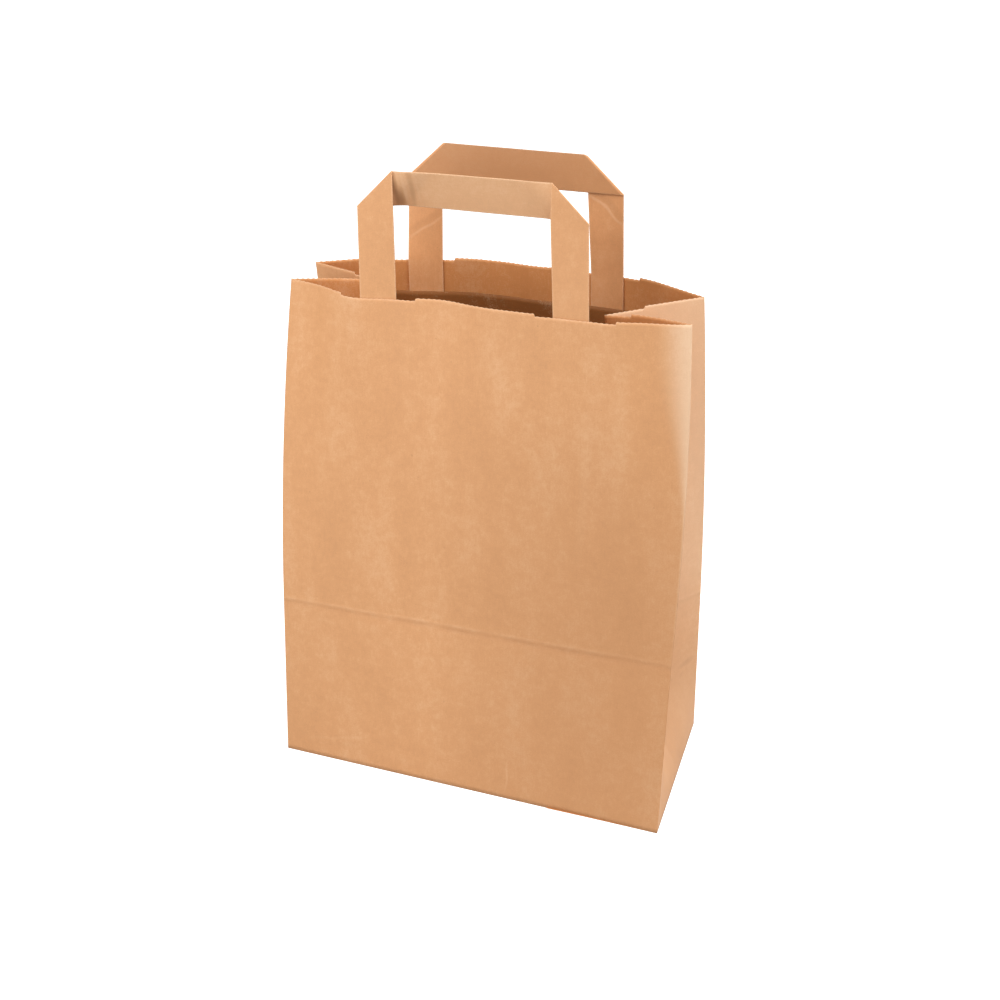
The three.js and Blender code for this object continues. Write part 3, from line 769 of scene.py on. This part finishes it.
# The rear strap's colour, lighter than the front strap's, is painted light, and a broad painted shade
# covers its grip. Its other marks are painted highlight and painted shade on either side of a slanting
# crease in each leg.
REAR_STRAP_LIT_COLOUR = (0.74, 0.355, 0.15)
REAR_STRAP_PAINTED_LIGHT_MARKS = (
    (9.4, 17, 55, 30, 0.9, 0.35),
    (69, 35.5, 52, 30, 0.9, 0.5),
)
REAR_STRAP_PAINTED_SHADE_MARKS = (
    (9.4, 20.5, 55, 30, 2.6, 0.22),
    (69, 39, 52, 30, 2.6, 0.25),
    (209.4, 58.5, 0, 210, 60, 0.85),
)
front_handle_paper = kraft_material(
    "front_handle_paper", FRONT_STRAP_COLOUR,
    painted_light_marks=FRONT_STRAP_PAINTED_LIGHT_MARKS, painted_shade_marks=FRONT_STRAP_PAINTED_SHADE_MARKS)
rear_handle_paper = kraft_material(
    "rear_handle_paper", REAR_STRAP_LIT_COLOUR,
    painted_light_marks=REAR_STRAP_PAINTED_LIGHT_MARKS, painted_shade_marks=REAR_STRAP_PAINTED_SHADE_MARKS)


def leg_place(name, side):
    values = HANDLES[name]
    straight = values["x"] + side * (HANDLE_WIDTH - STRAP_WIDTH) / 2
    return sheet_place(name, straight + values["root_shift"][side > 0])


# A leg runs straight from where it leaves the panel to its corner.
def handle_frame(name):
    values = HANDLES[name]
    outward = PANELS[name]["outward"]
    clear = PAPER + GLUE_GAP
    half = (HANDLE_WIDTH - STRAP_WIDTH) / 2
    roots = []
    for side, inset in zip((-1, 1), values["stands_in"]):
        root = panel_point(name, sheet_place(name, values["x"] + side * half), BAG_HEIGHT, clear)
        root.y -= outward * inset
        roots.append(root)
    along = roots[1] - roots[0]
    along.z = 0
    along.normalize()
    lean = math.radians(values["lean"])
    up = Vector((0, math.sin(lean), math.cos(lean)))
    inward = along.cross(up).normalized() * outward
    middle = roots[0].lerp(roots[1], 0.5)

    def place(across, rise, depth):
        centre = math.copysign(half, across)
        s = leg_place(name, math.copysign(1, across)) + across - centre
        if rise <= 0:
            return panel_point(name, s, BAG_HEIGHT + rise, clear + depth)
        spot = (across / LEG_WAVE_LENGTHS[0], rise / LEG_WAVE_LENGTHS[1], values["seed"])
        wave = LEG_WAVE * noise.noise(Vector(spot)) * smooth(*LEG_WAVE_GROWS, rise)
        free = middle + along * across + up * rise + inward * (depth + wave)
        root = panel_point(name, s, BAG_HEIGHT, clear + depth)
        root_gap = root - (middle + along * across + inward * depth)
        return free + root_gap * max(0.0, 1 - rise / LEG_LENGTH)
    return place, up, along


def build_handle(name, material):
    values = HANDLES[name]
    place, up, along = handle_frame(name)
    low = values["rise"] - STRAP_WIDTH
    half = HANDLE_WIDTH / 2
    lengths = [-GLUED_LENGTH + k * GLUED_STEP for k in range(13)] + [k * LEG_STEP for k in range(16)]
    rows = [("leg", -1, t) for t in lengths]
    rows += [("top", -1, k / TOP_STEPS) for k in range(1, TOP_STEPS)]
    rows += [("roll", -1, k / ROLL_STEPS) for k in range(ROLL_STEPS + 1)]
    rows += [("grip", 0, k / GRIP_STEPS) for k in range(1, GRIP_STEPS)]
    rows += [("roll", 1, 1 - k / ROLL_STEPS) for k in range(ROLL_STEPS + 1)]
    rows += [("top", 1, k / TOP_STEPS) for k in range(TOP_STEPS - 1, 0, -1)]
    rows += [("leg", 1, t) for t in lengths[::-1]]

    def swing(across, width):
        share = across / HANDLE_WIDTH + 0.5
        lower = lerp(values["swing"][0], values["swing"][1], share)
        upper = values["top_swing"] * (1 - share)
        from_corner = half - width - abs(across)
        return lerp(lower, upper, width / STRAP_WIDTH) * smooth(0, CORNER_REACH, from_corner)

    def slant(side):
        return values["fold_slant"][side > 0]

    def strap_point(i, j):
        kind, side, t = rows[j]
        width = STRAP_COLUMNS[i]
        across = side * (half - width)
        if kind == "leg":
            return place(across, t, 0.0)
        if kind == "top":
            return place(across, lerp(lengths[-1], low + width / slant(side), t), 0.0)
        if kind == "roll":
            angle = math.pi * t
            leg_end = place(across, low + width / slant(side), STRAP * (1 - math.cos(angle)))
            grip_end = place(side * (half - width * slant(side)), low + width,
                             STRAP * (1 - math.cos(angle)))
            outward = (along * side + up).normalized()
            return leg_end.lerp(grip_end, t) + outward * (STRAP * math.sin(angle))
        across = lerp(width * slant(-1) - half, half - width * slant(1), t)
        return place(across, low + width, 2 * STRAP + swing(across, width))

    def strap_map(i, j):
        kind, side, t = rows[j]
        width = STRAP_COLUMNS[i]
        leg_map = width + (RIGHT_LEG_MAP if side > 0 else 0)
        if kind == "leg":
            return leg_map, t
        if kind == "top":
            return leg_map, lerp(lengths[-1], low + width, t)
        if kind == "roll":
            return leg_map, low + width + 2 * t
        return width + GRIP_MAP, half + lerp(width - half, half - width, t)

    def strap_values(i, j):
        return 0.0, FAR, min(STRAP_COLUMNS[i], STRAP_WIDTH - STRAP_COLUMNS[i]) * MM

    bm = new_mesh()
    faces = add_sheet(bm, len(STRAP_COLUMNS), len(rows), strap_point, strap_map, strap_values)
    if PANELS[name]["outward"] > 0:
        bmesh.ops.reverse_faces(bm, faces=faces)
    finish_piece(bm, name + "_strap", name + "_handle", [material], STRAP_SHEET)


build_handle("front", front_handle_paper)
build_handle("rear", rear_handle_paper)

# The patches
# A strip of the same paper is glued inside each panel, over both ends of its strap, and stands
# off the panel where it covers them.
PATCH_WIDTH = 152.0
PATCH_HEIGHT = 40.0
PATCH_BELOW_EDGE = 18.0
PATCH_RAMP = 3.0
PATCH_COLUMNS = 101
PATCH_ROWS = 17
PATCH_MAP = 1300
# The patches are the bag's own paper; their dark colour is painted shade inside the bag.
PATCH_SHADE_COLOUR = (0.26, 0.095, 0.025)
patch_paper = kraft_material("patch_paper", PATCH_SHADE_COLOUR, gloss=0.15)


def build_patch(name):
    values = HANDLES[name]
    low = BAG_HEIGHT - PATCH_BELOW_EDGE - PATCH_HEIGHT
    centres = [leg_place(name, side) for side in (-1, 1)]
    ends = [sheet_place(name, values["x"] + side * PATCH_WIDTH / 2) for side in (-1, 1)]
    clear = STRAP_WIDTH / 2 + GLUE_GAP

    def point(i, j):
        s = lerp(ends[0], ends[1], i / (PATCH_COLUMNS - 1))
        over = max(smooth(clear + PATCH_RAMP, clear, abs(s - centre)) for centre in centres)
        lift = PAPER + GLUE_GAP + (STRAP + GLUE_GAP) * over
        return panel_point(name, s, low + PATCH_HEIGHT * j / (PATCH_ROWS - 1), lift)

    def mapped(i, j):
        return PATCH_MAP + PATCH_WIDTH * i / (PATCH_COLUMNS - 1), PATCH_HEIGHT * j / (PATCH_ROWS - 1)

    bm = new_mesh()
    faces = add_sheet(bm, PATCH_COLUMNS, PATCH_ROWS, point, mapped)
    if PANELS[name]["outward"] > 0:
        bmesh.ops.reverse_faces(bm, faces=faces)
    finish_piece(bm, name + "_patch", name + "_handle_patch", [patch_paper], PAPER)


build_patch("front")
build_patch("rear")

# The floor
# A plain white floor under the bag. It shows white to the camera, and keeps the bag's soft
# shadow.
FLOOR_HALF = 12
FLOOR_SHADE = (0.6, 0.6, 0.6, 1)
FLOOR_GLOW = 0.95
bm = bmesh.new()
bmesh.ops.create_grid(bm, x_segments=1, y_segments=1, size=FLOOR_HALF)
floor_mesh = bpy.data.meshes.new("floor")
bm.to_mesh(floor_mesh)
bm.free()
floor = bpy.data.objects.new("floor", floor_mesh)
bpy.context.scene.collection.objects.link(floor)
floor_paint = bpy.data.materials.new("floor_paint")
floor_paint.use_nodes = True
tree = floor_paint.node_tree
floor_shader = tree.nodes["Principled BSDF"]
floor_shader.inputs["Base Color"].default_value = FLOOR_SHADE
floor_shader.inputs["Roughness"].default_value = 0.9
floor_shader.inputs["Specular IOR Level"].default_value = 0.0
seen = add(tree, "ShaderNodeLightPath").outputs["Is Camera Ray"]
floor_shader.inputs["Emission Color"].default_value = (1, 1, 1, 1)
tree.links.new(math_node(tree, "MULTIPLY", seen, FLOOR_GLOW), floor_shader.inputs["Emission Strength"])
floor_mesh.materials.append(floor_paint)

# Light
# A pale room all round, a broad light high on the front left with a weak low one under it, a
# softer one from the right, and one behind on the right, which glances along the right side.
ROOM_BRIGHTNESS = 0.38
world = bpy.data.worlds.new("room")
bpy.context.scene.world = world
world.use_nodes = True
tree = world.node_tree
room = tree.nodes["Background"]
seen = add(tree, "ShaderNodeLightPath").outputs["Is Camera Ray"]
room.inputs["Color"].default_value = (1, 1, 1, 1)
tree.links.new(remap(tree, seen, 0, 1, ROOM_BRIGHTNESS, 1.0), room.inputs["Strength"])


def add_light(name, place, aim, size, watts):
    data = bpy.data.lights.new(name, "AREA")
    data.shape = "SQUARE"
    data.size = size
    data.energy = watts
    lamp = bpy.data.objects.new(name, data)
    lamp.location = place
    lamp.rotation_euler = (Vector(place) - Vector(aim)).to_track_quat("Z", "Y").to_euler()
    bpy.context.scene.collection.objects.link(lamp)


add_light("key", (-0.48, -0.6, 1.08), (0, 0, 0.2), 0.8, 9.2)
add_light("fill", (-0.3, -1.1, 0.4), (0, 0, 0.25), 0.5, 2.5)
add_light("side", (1.0, 0.0, 0.9), (0, 0, 0.2), 0.8, 11)
add_light("glance", (0.55, 1.2, 0.6), (0.1, 0, 0.2), 0.8, 8)

bpy.context.scene.view_settings.view_transform = "Standard"
